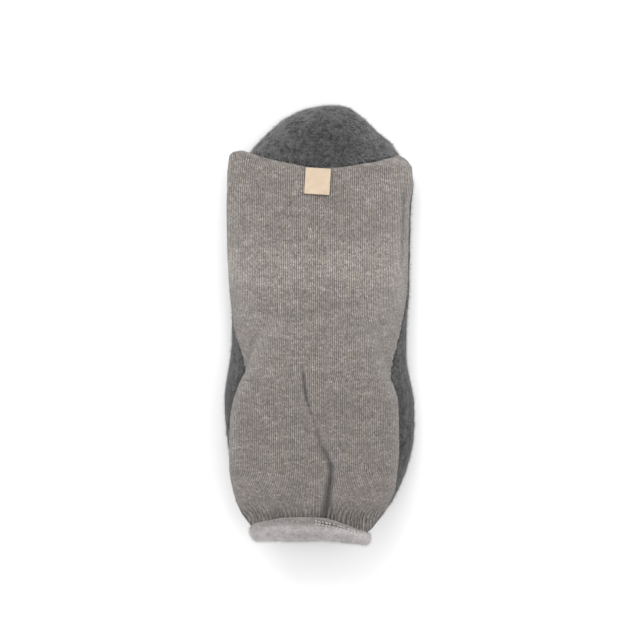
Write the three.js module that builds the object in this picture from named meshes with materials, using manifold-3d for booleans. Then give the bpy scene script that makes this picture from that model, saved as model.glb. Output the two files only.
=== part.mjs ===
// A left slipper sock: a knitted upper on a felt sole, standing empty with its slack shaft laid back on
// the heel. Millimetres. X runs across the foot with the big toe on +X, Y towards the toe, and Z up from
// the floor.
import * as THREE from 'three';
import { mergeVertices } from 'three/addons/utils/BufferGeometryUtils.js';
import Module from 'manifold-3d';

const wasm = await Module();
wasm.setup();

// Driving dimensions
const SOLE_LENGTH = 262; // felt, from toe tip to heel
const SOLE_WIDTH = 114; // felt across its widest line
const INSTEP_HEIGHT = 54; // top of the foot at the instep
const EDGE_HEIGHT = 9.5; // turned seam round the felt's widest line
const RAND_HEIGHT = 16; // felt rim beside the forefoot
const HEEL_CUP_HEIGHT = 36; // felt rim at its highest, beside the heel
const SOLE_THICKNESS = 5;
const FELT_WALL = 4;
const KNIT_WALL = 2.6; // outer jersey and its brushed inside, together
const KNIT_LAP = 1.2; // how far the knitted instep stands above the felt toe cap
const INSOLE_THICKNESS = 3;
const SEAM_GAP = 0.3; // between pieces that are sewn together
const ARCH_LIFT = 1.4; // how far the waist of the sole clears the floor

const SHAFT_WIDTH = 102; // across the flattened shaft
const SHAFT_TOP = 60.5; // height of the laid shaft's upper layer
const SHAFT_ROOT = 12; // how far the shaft's root in the instep lies ahead of the middle of the sole
const SHAFT_SHORT = 2; // how far its cut end stops short of the heel
const SHAFT_REACH = SOLE_LENGTH / 2 + SHAFT_ROOT - SHAFT_SHORT;
const TUCK_HEIGHT = 1.8; // slit between the heel pocket and the shaft that lies on it
const TUCK_DEPTH = 68; // from the heel forwards to the fold
const TUCK_SIDE_RUN = 27; // how much further forward the slit runs at the shaft's edges

const CUFF_LENGTH = 18.4; // rolled collar, along the shaft
const CUFF_LEFT = 5; // roll's thickness at the shaft's left side
const CUFF_RIGHT = 3; // and at its right side
const CUFF_LOFT = 3.6; // and over and under it
const CUFF_BOW = 6.6; // how much shorter the roll is at its sides than in the middle
const CUFF_SLANT = 2.3; // and how much shorter again on the big toe's side
const CUFF_TURN_IN = 5.2; // from the shaft's cut end out to the fold

const LABEL_WIDTH = 15;
const LABEL_LENGTH = 15.6;
const LABEL_STRIP = 0.9; // one layer of the folded tape
const LABEL_FOLD = 0.7; // air inside the folded tape
const LABEL_CENTRE = -0.8;
const LABEL_TURN = THREE.MathUtils.degToRad(-3.5);

const TOE_Y = SOLE_LENGTH / 2;
const HALF_WIDTH = SOLE_WIDTH / 2;
const LONGEST_STEP = SOLE_LENGTH / 23;
const CLEAR = SOLE_WIDTH; // half the reach of a cutting block

// Felt's outline and the foot's ridge from toe to heel. along is a share of the sole's length. left and
// right are how far the felt reaches each side of the middle, as shares of half the width. crest is a share
// of the instep.
const FOOT_SECTIONS = [
  { along: 0, left: -0.035, right: 0.21, crest: 0.22 },
  { along: 0.005, left: 0.15, right: 0.32, crest: 0.265 },
  { along: 0.014, left: 0.262, right: 0.384, crest: 0.32 },
  { along: 0.032, left: 0.41, right: 0.49, crest: 0.4 },
  { along: 0.06, left: 0.545, right: 0.615, crest: 0.475 },
  { along: 0.09, left: 0.678, right: 0.757, crest: 0.53 },
  { along: 0.118, left: 0.773, right: 0.855, crest: 0.57 },
  { along: 0.137, left: 0.818, right: 0.92, crest: 0.595 },
  { along: 0.172, left: 0.877, right: 0.988, crest: 0.635 },
  { along: 0.221, left: 0.918, right: 0.96, crest: 0.69 },
  { along: 0.324, left: 0.933, right: 0.947, crest: 0.785 },
  { along: 0.42, left: 0.923, right: 0.937, crest: 0.88 },
  { along: 0.515, left: 0.919, right: 0.908, crest: 0.925 },
  { along: 0.573, left: 0.937, right: 0.908, crest: 0.93 },
  { along: 0.622, left: 0.978, right: 0.947, crest: 0.905 },
  { along: 0.672, left: 1, right: 0.992, crest: 0.865 },
  { along: 0.737, left: 0.982, right: 0.994, crest: 0.81 },
  { along: 0.794, left: 0.944, right: 0.954, crest: 0.78 },
  { along: 0.847, left: 0.877, right: 0.877, crest: 0.745 },
  { along: 0.893, left: 0.789, right: 0.777, crest: 0.7 },
  { along: 0.931, left: 0.667, right: 0.649, crest: 0.655 },
  { along: 0.962, left: 0.526, right: 0.509, crest: 0.585 },
  { along: 0.985, left: 0.36, right: 0.333, crest: 0.49 },
  { along: 0.997, left: 0.19, right: 0.17, crest: 0.37 },
  { along: 1, left: 0.105, right: 0.07, crest: 0.27 },
];

// The flat tread, as shares of the felt's reach each side, and the underside's lift, as a share of the
// edge's height.
const TREAD_SECTIONS = [
  { along: 0, left: 0.6, right: 0.6, lift: 0.76 },
  { along: 0.005, left: 0.6, right: 0.6, lift: 0.65 },
  { along: 0.014, left: 0.62, right: 0.6, lift: 0.5 },
  { along: 0.032, left: 0.68, right: 0.66, lift: 0.3 },
  { along: 0.06, left: 0.74, right: 0.72, lift: 0.14 },
  { along: 0.09, left: 0.785, right: 0.758, lift: 0.05 },
  { along: 0.137, left: 0.815, right: 0.78, lift: 0 },
  { along: 0.221, left: 0.83, right: 0.8, lift: 0 },
  { along: 0.324, left: 0.82, right: 0.78, lift: 0 },
  { along: 0.42, left: 0.76, right: 0.63, lift: 0 },
  { along: 0.515, left: 0.72, right: 0.53, lift: 0 },
  { along: 0.573, left: 0.7, right: 0.53, lift: 0 },
  { along: 0.622, left: 0.66, right: 0.56, lift: 0 },
  { along: 0.672, left: 0.63, right: 0.58, lift: 0 },
  { along: 0.737, left: 0.62, right: 0.6, lift: 0 },
  { along: 0.794, left: 0.64, right: 0.62, lift: 0 },
  { along: 0.847, left: 0.68, right: 0.67, lift: 0 },
  { along: 0.893, left: 0.7, right: 0.7, lift: 0.02 },
  { along: 0.931, left: 0.7, right: 0.7, lift: 0.06 },
  { along: 0.962, left: 0.68, right: 0.68, lift: 0.16 },
  { along: 0.985, left: 0.65, right: 0.65, lift: 0.36 },
  { along: 0.997, left: 0.6, right: 0.6, lift: 0.6 },
  { along: 1, left: 0.6, right: 0.6, lift: 0.78 },
];

// How far the slack knit puffs out beyond the foot's own dome, as shares of half the width.
const KNIT_PUFF = [
  { along: 0.0865, left: 0, right: 0 },
  { along: 0.0895, left: 0.16, right: 0.05 },
  { along: 0.0935, left: 0.29, right: 0.13 },
  { along: 0.105, left: 0.288, right: 0.15 },
  { along: 0.118, left: 0.274, right: 0.165 },
  { along: 0.137, left: 0.244, right: 0.146 },
  { along: 0.172, left: 0.198, right: 0.09 },
  { along: 0.221, left: 0.168, right: 0.06 },
  { along: 0.324, left: 0.139, right: 0.035 },
  { along: 0.42, left: 0.12, right: 0.012 },
  { along: 0.515, left: 0.045, right: 0 },
  { along: 0.573, left: 0, right: 0 },
];

// Height of the felt's rim along the foot. rand and cup are shares of how far it has risen from the edge
// seam to the rand's height, and from there to the heel cup's.
const RIM_LINE = [
  { along: 0, rand: 0.3, cup: 0 },
  { along: 0.1, rand: 0.3, cup: 0 },
  { along: 0.12, rand: 0.38, cup: 0 },
  { along: 0.155, rand: 0.72, cup: 0 },
  { along: 0.195, rand: 1, cup: 0 },
  { along: 0.36, rand: 1, cup: 0 },
  { along: 0.42, rand: 1, cup: 0.1 },
  { along: 0.5, rand: 1, cup: 0.46 },
  { along: 0.56, rand: 1, cup: 0.8 },
  { along: 0.62, rand: 1, cup: 1 },
  { along: 0.7, rand: 1, cup: 0.95 },
  { along: 0.8, rand: 1, cup: 0.85 },
  { along: 0.9, rand: 1, cup: 0.74 },
  { along: 1, rand: 1, cup: 0.68 },
];

// Seam between the toe cap and the knit, seen from above. across is a share of half the width, and back of
// the length.
const TOE_SEAM = [
  { across: -1.9, back: 0.03 },
  { across: -0.9, back: 0.068 },
  { across: -0.76, back: 0.092 },
  { across: -0.7, back: 0.104 },
  { across: -0.42, back: 0.12 },
  { across: -0.15, back: 0.134 },
  { across: 0.15, back: 0.135 },
  { across: 0.5, back: 0.124 },
  { across: 0.78, back: 0.117 },
  { across: 0.85, back: 0.103 },
  { across: 1, back: 0.075 },
  { across: 1.9, back: 0.03 },
];

// Shaft sections from its root to its cut end. along is a share of the shaft's reach, half and centre are
// shares of half its width, and top and bottom shares of the height of its upper layer.
const SHAFT_SECTIONS = [
  { along: 0, half: 0.3, centre: -0.02, top: 0.785, bottom: 0.66 },
  { along: 0.04, half: 0.51, centre: -0.02, top: 0.832, bottom: 0.57 },
  { along: 0.1, half: 0.655, centre: -0.02, top: 0.884, bottom: 0.52 },
  { along: 0.157, half: 0.73, centre: -0.025, top: 0.928, bottom: 0.51 },
  { along: 0.207, half: 0.78, centre: -0.03, top: 0.957, bottom: 0.51 },
  { along: 0.284, half: 0.845, centre: -0.04, top: 0.987, bottom: 0.52 },
  { along: 0.327, half: 0.905, centre: -0.045, top: 0.997, bottom: 0.54 },
  { along: 0.383, half: 0.96, centre: -0.046, top: 1, bottom: 0.565 },
  { along: 0.468, half: 0.99, centre: -0.063, top: 0.995, bottom: 0.61 },
  { along: 0.582, half: 1, centre: -0.066, top: 0.977, bottom: 0.61 },
  { along: 0.667, half: 0.993, centre: -0.071, top: 0.958, bottom: 0.588 },
  { along: 0.723, half: 0.98, centre: -0.074, top: 0.944, bottom: 0.576 },
  { along: 0.78, half: 0.953, centre: -0.067, top: 0.928, bottom: 0.572 },
  { along: 0.826, half: 0.906, centre: -0.078, top: 0.912, bottom: 0.582 },
  { along: 0.877, half: 0.835, centre: -0.082, top: 0.896, bottom: 0.604 },
  { along: 0.926, half: 0.73, centre: -0.085, top: 0.884, bottom: 0.625 },
  { along: 0.943, half: 0.683, centre: -0.072, top: 0.882, bottom: 0.63 },
  { along: 0.957, half: 0.653, centre: -0.073, top: 0.882, bottom: 0.632 },
  { along: 1, half: 0.631, centre: -0.092, top: 0.884, bottom: 0.633 },
];

// The rolled collar from its fold to its sewn edge. roll is a share of its thickness round the shaft's end.
const CUFF_SECTIONS = [
  { along: 0, roll: 0.1 },
  { along: 0.03, roll: 0.35 },
  { along: 0.1, roll: 0.65 },
  { along: 0.24, roll: 0.9 },
  { along: 0.45, roll: 1 },
  { along: 0.68, roll: 0.95 },
  { along: 0.84, roll: 0.8 },
  { along: 0.94, roll: 0.58 },
  { along: 1, roll: 0.3 },
];

// Middle of the tuck's slit, as shares of the heel cup's height, from ahead of its fold to behind the
// collar
const TUCK_LINE = [
  { along: 0, height: 1.16 },
  { along: 0.26, height: 1.12 },
  { along: 0.42, height: 1.09 },
  { along: 0.56, height: 1.035 },
  { along: 0.7, height: 0.99 },
  { along: 0.8, height: 0.965 },
  { along: 0.9, height: 0.95 },
  { along: 1, height: 0.945 },
];

const FELT_ANGLES = [0, 14, 28, 42, 56, 73, 90].map(THREE.MathUtils.degToRad);
const KNIT_ANGLES = [0, 5, 11, 18, 25, 32, 42, 54, 66, 78, 90].map(THREE.MathUtils.degToRad);
const KEEL_ANGLES = [0, 32, 62].map(THREE.MathUtils.degToRad);
const BULGE_FROM = THREE.MathUtils.degToRad(9);
const BULGE_PEAK = THREE.MathUtils.degToRad(30);
const TUBE_SIDES = 28;
const TUBE_FULLNESS = 0.92; // under 1 fills out the corners of a flattened tube
const DOME_FULLNESS = 0.87; // and the shoulders of the foot
const PUFF_RISE = 3; // how far behind the toe seam the knit has puffed out
const STEEPEST = 2.2; // most that a slope may thicken a wall's section
const SLIMMEST = 0.3; // least share of a section's width that a wall leaves hollow

// A smooth curve through one column of a table, with no overshoot, and its slope.
function column(rows, key, name) {
  const x = rows.map((row) => row[key]);
  const y = rows.map((row) => row[name]);
  const secant = x.slice(1).map((end, i) => (y[i + 1] - y[i]) / (end - x[i]));
  const slope = x.map((_, i) => {
    const before = secant[Math.max(i - 1, 0)];
    const after = secant[Math.min(i, secant.length - 1)];
    return before * after <= 0 ? 0 : (2 * before * after) / (before + after);
  });
  return (at) => {
    let i = 0;
    while (i < x.length - 2 && at > x[i + 1]) i += 1;
    const span = x[i + 1] - x[i];
    const t = THREE.MathUtils.clamp((at - x[i]) / span, 0, 1);
    const [t2, t3] = [t * t, t * t * t];
    return (2 * t3 - 3 * t2 + 1) * y[i] + (t3 - 2 * t2 + t) * span * slope[i]
      + (3 * t2 - 2 * t3) * y[i + 1] + (t3 - t2) * span * slope[i + 1];
  };
}

// Every column of a table as a curve.
function curves(rows, key = 'along') {
  const names = Object.keys(rows[0]).filter((name) => name !== key);
  return Object.fromEntries(names.map((name) => [name, column(rows, key, name)]));
}

const FOOT = curves(FOOT_SECTIONS);
const TREAD = curves(TREAD_SECTIONS);
const PUFF = curves(KNIT_PUFF);
const RIM = curves(RIM_LINE);
const SEAM = curves(TOE_SEAM, 'across');
const SHAFT = curves(SHAFT_SECTIONS);
const TUCK = curves(TUCK_LINE);

// The places of the tables' rows, with long gaps split so that no step is over the longest one.
function stations(rows, length) {
  const places = [...new Set(rows.map((row) => row.along))].sort((a, b) => a - b);
  return places.flatMap((place, i) => {
    if (i === places.length - 1) return [place];
    const step = places[i + 1] - place;
    const parts = Math.ceil((step * length) / LONGEST_STEP);
    return Array.from({ length: parts }, (_, n) => place + (step * n) / parts);
  });
}

// How much longer a wall's section is than its thickness, where the surface slopes along the foot.
function slant(curve, along, size, length) {
  const nudge = 0.004;
  const rise = (curve(Math.min(along + nudge, 1)) - curve(Math.max(along - nudge, 0))) * size;
  return Math.min(STEEPEST, Math.hypot(1, rise / (2 * nudge * length)));
}

// A closed surface through rings of points, with a fan across each end.
function loft(rings) {
  const sides = rings[0].length;
  const points = rings.flat();
  const index = [];
  rings.slice(1).forEach((_, r) => {
    for (let i = 0; i < sides; i += 1) {
      const a = r * sides + i;
      const b = r * sides + ((i + 1) % sides);
      index.push(a, b, b + sides, a, b + sides, a + sides);
    }
  });
  [[0, -1], [rings.length - 1, 1]].forEach(([r, facing]) => {
    const middle = rings[r].reduce((sum, p) => sum.add(p), new THREE.Vector3()).divideScalar(sides);
    const hub = points.push(middle) - 1;
    for (let i = 0; i < sides; i += 1) {
      const a = r * sides + i;
      const b = r * sides + ((i + 1) % sides);
      index.push(...(facing > 0 ? [a, b, hub] : [b, a, hub]));
    }
  });
  const geometry = new THREE.BufferGeometry().setFromPoints(points);
  geometry.setIndex(index);
  return solid(geometry);
}

// A solid for joining and cutting, from a closed geometry whichever way round its faces are.
function solid(geometry) {
  geometry.deleteAttribute('normal');
  geometry.deleteAttribute('uv');
  const merged = mergeVertices(geometry, 1e-4);
  const triVerts = new Uint32Array(merged.index.array);
  const vertProperties = merged.attributes.position.array;
  const made = new wasm.Manifold(new wasm.Mesh({ numProp: 3, vertProperties, triVerts }));
  if (made.volume() > 0) return made;
  return new wasm.Manifold(new wasm.Mesh({ numProp: 3, vertProperties, triVerts: triVerts.reverse() }));
}

// A named mesh from a solid.
function piece(name, made, material) {
  const { vertProperties, triVerts } = made.getMesh();
  const geometry = new THREE.BufferGeometry();
  geometry.setAttribute('position', new THREE.BufferAttribute(new Float32Array(vertProperties), 3));
  geometry.setIndex(new THREE.BufferAttribute(new Uint32Array(triVerts), 1));
  geometry.computeVertexNormals();
  const mesh = new THREE.Mesh(geometry, material);
  mesh.name = name;
  return mesh;
}

// A block across the whole width whose outline is drawn in Y and Z.
function sideBlock(outline, width = 2 * CLEAR) {
  const shape = new THREE.Shape(outline);
  const geometry = new THREE.ExtrudeGeometry(shape, { depth: width, bevelEnabled: false });
  geometry.translate(0, 0, -width / 2);
  geometry.applyMatrix4(new THREE.Matrix4().set(0, 0, 1, 0, 1, 0, 0, 0, 0, 1, 0, 0, 0, 0, 0, 1));
  return solid(geometry);
}

const edgeSeam = () => EDGE_HEIGHT;
const alongAt = (y) => THREE.MathUtils.clamp((TOE_Y - y) / SOLE_LENGTH, 0, 1);
const rimHeight = (along) => EDGE_HEIGHT + RIM.rand(along) * (RAND_HEIGHT - EDGE_HEIGHT)
  + RIM.cup(along) * (HEEL_CUP_HEIGHT - RAND_HEIGHT);
const archLift = (along) => ARCH_LIFT * THREE.MathUtils.smoothstep(along, 0.36, 0.52)
  * (1 - THREE.MathUtils.smoothstep(along, 0.6, 0.76));
const undersideHeight = (along) => TREAD.lift(along) * EDGE_HEIGHT + archLift(along);
const feltCrest = (along) => FOOT.crest(along) * INSTEP_HEIGHT;
const footPlaces = stations([...FOOT_SECTIONS, ...KNIT_PUFF], SOLE_LENGTH);

// Everything under a height that changes along the foot.
function below(height, offset = 0) {
  const top = footPlaces.map((along) => (
    new THREE.Vector2(TOE_Y - along * SOLE_LENGTH, height(along) + offset)
  ));
  top[0].x += CLEAR;
  top[top.length - 1].x -= CLEAR;
  const last = top[top.length - 1].x;
  return sideBlock([...top, new THREE.Vector2(last, -CLEAR), new THREE.Vector2(top[0].x, -CLEAR)]);
}

// Everything ahead of the toe cap's seam, moved by an offset towards the toe.
function aheadOfSeam(offset) {
  const steps = 36;
  const reach = TOE_SEAM[TOE_SEAM.length - 1].across;
  const line = Array.from({ length: steps + 1 }, (_, i) => {
    const across = -reach + (2 * reach * i) / steps;
    return new THREE.Vector2(across * HALF_WIDTH, TOE_Y - SEAM.back(across) * SOLE_LENGTH + offset);
  });
  const front = TOE_Y + CLEAR;
  const shape = new THREE.Shape([
    ...line, new THREE.Vector2(reach * HALF_WIDTH, front), new THREE.Vector2(-reach * HALF_WIDTH, front),
  ]);
  const block = new THREE.ExtrudeGeometry(shape, { depth: 2 * CLEAR, bevelEnabled: false });
  return solid(block.translate(0, 0, -CLEAR));
}

// How strongly the knit bulges at an angle up the dome: most at the shoulder, nothing at the rim and the
// crest.
function bulgeAt(angle) {
  if (angle <= BULGE_PEAK) return THREE.MathUtils.smoothstep(angle, BULGE_FROM, BULGE_PEAK);
  return Math.cos(((angle - BULGE_PEAK) / (Math.PI / 2 - BULGE_PEAK)) * (Math.PI / 2)) ** 2;
}

// How far the knit puffs out to one side, from nothing at the toe seam.
function puffAt(side, along, x) {
  const behind = (along - SEAM.back(x / HALF_WIDTH)) * SOLE_LENGTH;
  return PUFF[side](along) * HALF_WIDTH * THREE.MathUtils.smoothstep(behind, -PUFF_RISE / 4, PUFF_RISE);
}

// One closed section of the foot: flat tread, rounded keel up to the edge seam, and a dome to the crest.
function footRing(along, { wall, floor, knit }) {
  const y = TOE_Y - along * SOLE_LENGTH;
  const under = undersideHeight(along) + floor * slant(undersideHeight, along, 1, SOLE_LENGTH);
  const top = feltCrest(along) + (knit ? KNIT_LAP : 0) - wall * slant(feltCrest, along, 1, SOLE_LENGTH);
  const crest = Math.max(top, under + wall);
  const edge = THREE.MathUtils.clamp(EDGE_HEIGHT, under, (under + crest) / 2);
  const middle = ((FOOT.right(along) - FOOT.left(along)) / 2) * HALF_WIDTH;
  const half = (side, sign) => {
    const outer = Math.abs(sign * FOOT[side](along) * HALF_WIDTH - middle);
    const thick = wall * slant(FOOT[side], along, HALF_WIDTH, SOLE_LENGTH);
    const inner = Math.max(outer - thick, SLIMMEST * outer);
    const foot = inner * TREAD[side](along);
    const point = (x, z) => new THREE.Vector3(middle + sign * x, y, z);
    const puff = (x) => (knit ? puffAt(side, along - wall / SOLE_LENGTH, middle + sign * x) : 0);
    return [
      point(foot / 2, under),
      ...KEEL_ANGLES.map((a) => (
        point(foot + (inner - foot) * Math.sin(a), edge - (edge - under) * Math.cos(a))
      )),
      ...(knit ? KNIT_ANGLES : FELT_ANGLES).map((a) => {
        const x = inner * Math.cos(a) ** DOME_FULLNESS;
        return point(x + puff(x) * bulgeAt(a), edge + (crest - edge) * Math.sin(a) ** DOME_FULLNESS);
      }),
    ];
  };
  const keel = new THREE.Vector3(middle, y, under);
  return [keel, ...half('right', 1), ...half('left', -1).toReversed().slice(1)];
}

// The foot as a solid, drawn in by a wall all round and a floor underneath.
function footForm({ wall = 0, floor = wall, knit = false } = {}) {
  const drawnIn = (1.3 * Math.max(wall, floor)) / SOLE_LENGTH;
  const inside = footPlaces.filter((along) => along > drawnIn && along < 1 - drawnIn);
  const places = wall > 0 ? [drawnIn, ...inside, 1 - drawnIn] : footPlaces;
  return loft(places.map((along) => footRing(along, { wall, floor, knit })));
}

// A flattened tube's section in a plane across the foot.
function tubeRing(y, centre, half, bottom, top) {
  return Array.from({ length: TUBE_SIDES }, (_, i) => {
    const a = (2 * Math.PI * i) / TUBE_SIDES;
    const reach = (v) => Math.sign(v) * Math.abs(v) ** TUBE_FULLNESS;
    return new THREE.Vector3(
      centre + half * reach(Math.cos(a)), y, (top + bottom) / 2 + ((top - bottom) / 2) * reach(Math.sin(a)),
    );
  });
}

const shaftY = (along) => SHAFT_ROOT - along * SHAFT_REACH;
const shaftEnd = shaftY(1);

// The laid shaft as a solid, drawn in by a wall (or out, where the wall is negative), and carried past its
// cut end.
function shaftForm(wall = 0, overrun = 0) {
  const section = (along, y) => {
    const half = (SHAFT.half(along) * SHAFT_WIDTH) / 2 - wall;
    const centre = (SHAFT.centre(along) * SHAFT_WIDTH) / 2;
    const bottom = SHAFT.bottom(along) * SHAFT_TOP + wall;
    return tubeRing(y, centre, half, bottom, SHAFT.top(along) * SHAFT_TOP - wall);
  };
  const room = (along) => (SHAFT.top(along) - SHAFT.bottom(along)) * SHAFT_TOP;
  const enough = 2.5 * Math.max(wall, 0);
  const places = stations(SHAFT_SECTIONS, SHAFT_REACH).filter((along) => room(along) > enough);
  const rings = places.map((along) => section(along, shaftY(along)));
  return loft(overrun > 0 ? [...rings, section(1, shaftEnd - overrun)] : rings);
}

// The slit between the heel pocket and the shaft, thickened by a wall where the hollow must keep clear of
// it.
function tuckForm(wall = 0) {
  const half = TUCK_HEIGHT / 2 + wall;
  const reach = CLEAR;
  const acrossSteps = 16;
  const lengthSteps = 14;
  const rearY = -TOE_Y - CLEAR / 2;
  const rings = Array.from({ length: acrossSteps + 1 }, (_, n) => {
    const x = -reach + (2 * reach * n) / acrossSteps;
    const edgeShare = Math.min(1, Math.abs(x) / (SHAFT_WIDTH / 2)) ** 2;
    const foldY = -TOE_Y + TUCK_DEPTH + TUCK_SIDE_RUN * edgeShare + wall;
    const height = (y) => HEEL_CUP_HEIGHT * TUCK.height(THREE.MathUtils.clamp(-y / TOE_Y, 0, 1));
    const step = (rearY - foldY) / lengthSteps;
    const lines = Array.from({ length: lengthSteps + 1 }, (_, i) => foldY + step * i);
    return [
      new THREE.Vector3(x, foldY + half, height(foldY)),
      ...lines.map((y) => new THREE.Vector3(x, y, height(y) + half)),
      ...lines.toReversed().map((y) => new THREE.Vector3(x, y, height(y) - half)),
    ];
  });
  return loft(rings);
}

// Felt all round the foot, before it is cut along its seams.
function makeFeltShell() {
  return footForm().subtract(footForm({ wall: FELT_WALL, floor: SOLE_THICKNESS }));
}

// Felt sole, turned up to the edge seam.
function makeSole() {
  return makeFeltShell().intersect(below(edgeSeam));
}

// Felt side wall: a low rand beside the forefoot that rises into the heel cup.
function makeSideWall() {
  const above = makeFeltShell().subtract(below(edgeSeam, SEAM_GAP));
  return above.intersect(below(rimHeight)).subtract(aheadOfSeam(-SEAM_GAP));
}

// Felt toe cap, sewn to the sole along the edge seam.
function makeToeCap() {
  return makeFeltShell().subtract(below(edgeSeam, SEAM_GAP)).intersect(aheadOfSeam(0));
}

// Knitted foot and shaft in one, open underneath, at the toe seam and at the collar.
function makeUpper() {
  const outside = footForm({ knit: true }).add(shaftForm()).subtract(tuckForm());
  const foot = footForm({ wall: KNIT_WALL, knit: true });
  const hollow = foot.add(shaftForm(KNIT_WALL, CUFF_LENGTH)).subtract(tuckForm(KNIT_WALL));
  const sewnLine = below(rimHeight, SEAM_GAP).add(aheadOfSeam(-SEAM_GAP));
  return outside.subtract(hollow).subtract(sewnLine);
}

// Rolled collar: a sleeve over the end of the shaft that turns in at the mouth, its sewn edge bowed across.
function makeCuff() {
  const foldY = shaftEnd - CUFF_TURN_IN;
  const bottom = SHAFT.bottom(1) * SHAFT_TOP;
  const top = SHAFT.top(1) * SHAFT_TOP;
  const rings = CUFF_SECTIONS.map(({ along, roll }) => {
    const half = (SHAFT.half(1) * SHAFT_WIDTH + roll * (CUFF_LEFT + CUFF_RIGHT)) / 2;
    const centre = (SHAFT.centre(1) * SHAFT_WIDTH + roll * (CUFF_RIGHT - CUFF_LEFT)) / 2;
    const ring = tubeRing(0, centre, half, bottom - roll * CUFF_LOFT, top + roll * CUFF_LOFT);
    return ring.map((p) => {
      const across = (p.x - centre) / half;
      return p.setY(foldY + along * (CUFF_LENGTH - CUFF_BOW * across ** 2 - CUFF_SLANT * across));
    });
  });
  const mouth = shaftForm(KNIT_WALL, 2 * CUFF_LENGTH);
  return loft(rings).subtract(shaftForm(-SEAM_GAP, SEAM_GAP)).subtract(mouth);
}

// Felt insole lying on the sole.
function makeInsole() {
  const room = footForm({ wall: FELT_WALL + SEAM_GAP, floor: SOLE_THICKNESS + SEAM_GAP });
  const top = (along) => undersideHeight(along) + SOLE_THICKNESS + SEAM_GAP + INSOLE_THICKNESS;
  return room.intersect(below(top));
}

// Folded tape caught in the toe seam, lying back on the instep.
function makeLabel() {
  const seamY = TOE_Y - SEAM.back(0) * SOLE_LENGTH - 2 * SEAM_GAP;
  const steps = 6;
  const rest = (y) => feltCrest(alongAt(y)) + KNIT_LAP + 2 * SEAM_GAP;
  const run = Array.from({ length: steps + 1 }, (_, i) => seamY - (LABEL_LENGTH * i) / steps);
  const folded = 2 * LABEL_STRIP + LABEL_FOLD;
  const foldY = seamY - LABEL_LENGTH + LABEL_STRIP;
  const inner = run.filter((y) => y > foldY);
  const outline = [
    ...run.map((y) => new THREE.Vector2(y, rest(y))),
    ...run.toReversed().map((y) => new THREE.Vector2(y, rest(y) + folded)),
    ...inner.map((y) => new THREE.Vector2(y, rest(y) + folded - LABEL_STRIP)),
    new THREE.Vector2(foldY, rest(foldY) + folded - LABEL_STRIP),
    new THREE.Vector2(foldY, rest(foldY) + LABEL_STRIP),
    ...inner.toReversed().map((y) => new THREE.Vector2(y, rest(y) + LABEL_STRIP)),
  ];
  return sideBlock(outline, LABEL_WIDTH);
}

const felt = new THREE.MeshStandardMaterial({ color: 0x5f6062, roughness: 0.96, metalness: 0 });
const insoleFelt = new THREE.MeshStandardMaterial({ color: 0x6a6a6b, roughness: 0.96, metalness: 0 });
const knit = new THREE.MeshStandardMaterial({ color: 0x9b928d, roughness: 0.92, metalness: 0 });
const brushed = new THREE.MeshStandardMaterial({ color: 0xb5aba9, roughness: 0.97, metalness: 0 });
const tape = new THREE.MeshStandardMaterial({ color: 0xe6d6bf, roughness: 0.75, metalness: 0 });

const label = piece('label', makeLabel(), tape);
const seamMiddle = new THREE.Vector3(LABEL_CENTRE, TOE_Y - SEAM.back(0) * SOLE_LENGTH, 0);
label.position.copy(seamMiddle).sub(new THREE.Vector3(0, seamMiddle.y, 0).applyAxisAngle(
  new THREE.Vector3(0, 0, 1), LABEL_TURN,
));
label.rotation.z = LABEL_TURN;

const group = new THREE.Group();
group.add(
  piece('sole', makeSole(), felt),
  piece('side_wall', makeSideWall(), felt),
  piece('toe_cap', makeToeCap(), felt),
  piece('insole', makeInsole(), insoleFelt),
  piece('upper', makeUpper(), knit),
  piece('cuff', makeCuff(), brushed),
  label,
);

// The origin goes to the middle of the underside of the whole.
const box = new THREE.Box3().setFromObject(group, true);
const centre = box.getCenter(new THREE.Vector3());
group.position.set(-centre.x, -centre.y, -box.min.z);

export default group;
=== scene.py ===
"""Looks of a left slipper sock, in boiled wool and brushed jersey.

Each soft piece starts as an even remesh of its CAD node. Folds listed in the shoe's own sizes
are then worked into it, fibres are grown on it, and it takes a finish that follows its cloth.
"""

import logging
import math
from dataclasses import dataclass
from enum import Enum

import bmesh
import bpy
import numpy as np
from mathutils import Matrix, Vector
from mathutils.bvhtree import BVHTree


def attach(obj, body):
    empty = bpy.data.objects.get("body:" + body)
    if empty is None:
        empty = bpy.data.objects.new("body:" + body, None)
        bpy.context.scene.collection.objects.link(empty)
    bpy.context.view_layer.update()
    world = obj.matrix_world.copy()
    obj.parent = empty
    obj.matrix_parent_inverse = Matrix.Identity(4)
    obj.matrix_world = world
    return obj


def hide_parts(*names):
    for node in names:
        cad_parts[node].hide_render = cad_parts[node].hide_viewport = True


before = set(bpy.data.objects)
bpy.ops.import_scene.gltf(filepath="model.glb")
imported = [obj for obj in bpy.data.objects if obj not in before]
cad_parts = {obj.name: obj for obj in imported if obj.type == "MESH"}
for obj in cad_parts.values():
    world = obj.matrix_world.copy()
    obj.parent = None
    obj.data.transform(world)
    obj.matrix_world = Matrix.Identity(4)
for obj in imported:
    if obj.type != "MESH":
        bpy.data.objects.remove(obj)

log = logging.getLogger("slipper_sock")
MM = 0.001
LIGHT_LEVEL = 1.3  # how much brighter than plain white the studio lights the floor

Colour = tuple[float, float, float, float]


def seen(red: float, green: float, blue: float) -> Colour:
    """Returns the base colour that looks like a display colour in the studio's light."""
    return (*(((part + 0.055) / 1.055) ** 2.4 / LIGHT_LEVEL for part in (red, green, blue)), 1.0)


def ramp(low: float, high: float, value: np.ndarray) -> np.ndarray:
    """Rises softly from 0 to 1 as values go from low to high."""
    share = np.clip((value - low) / (high - low), 0.0, 1.0)
    return share * share * (3.0 - 2.0 * share)


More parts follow.
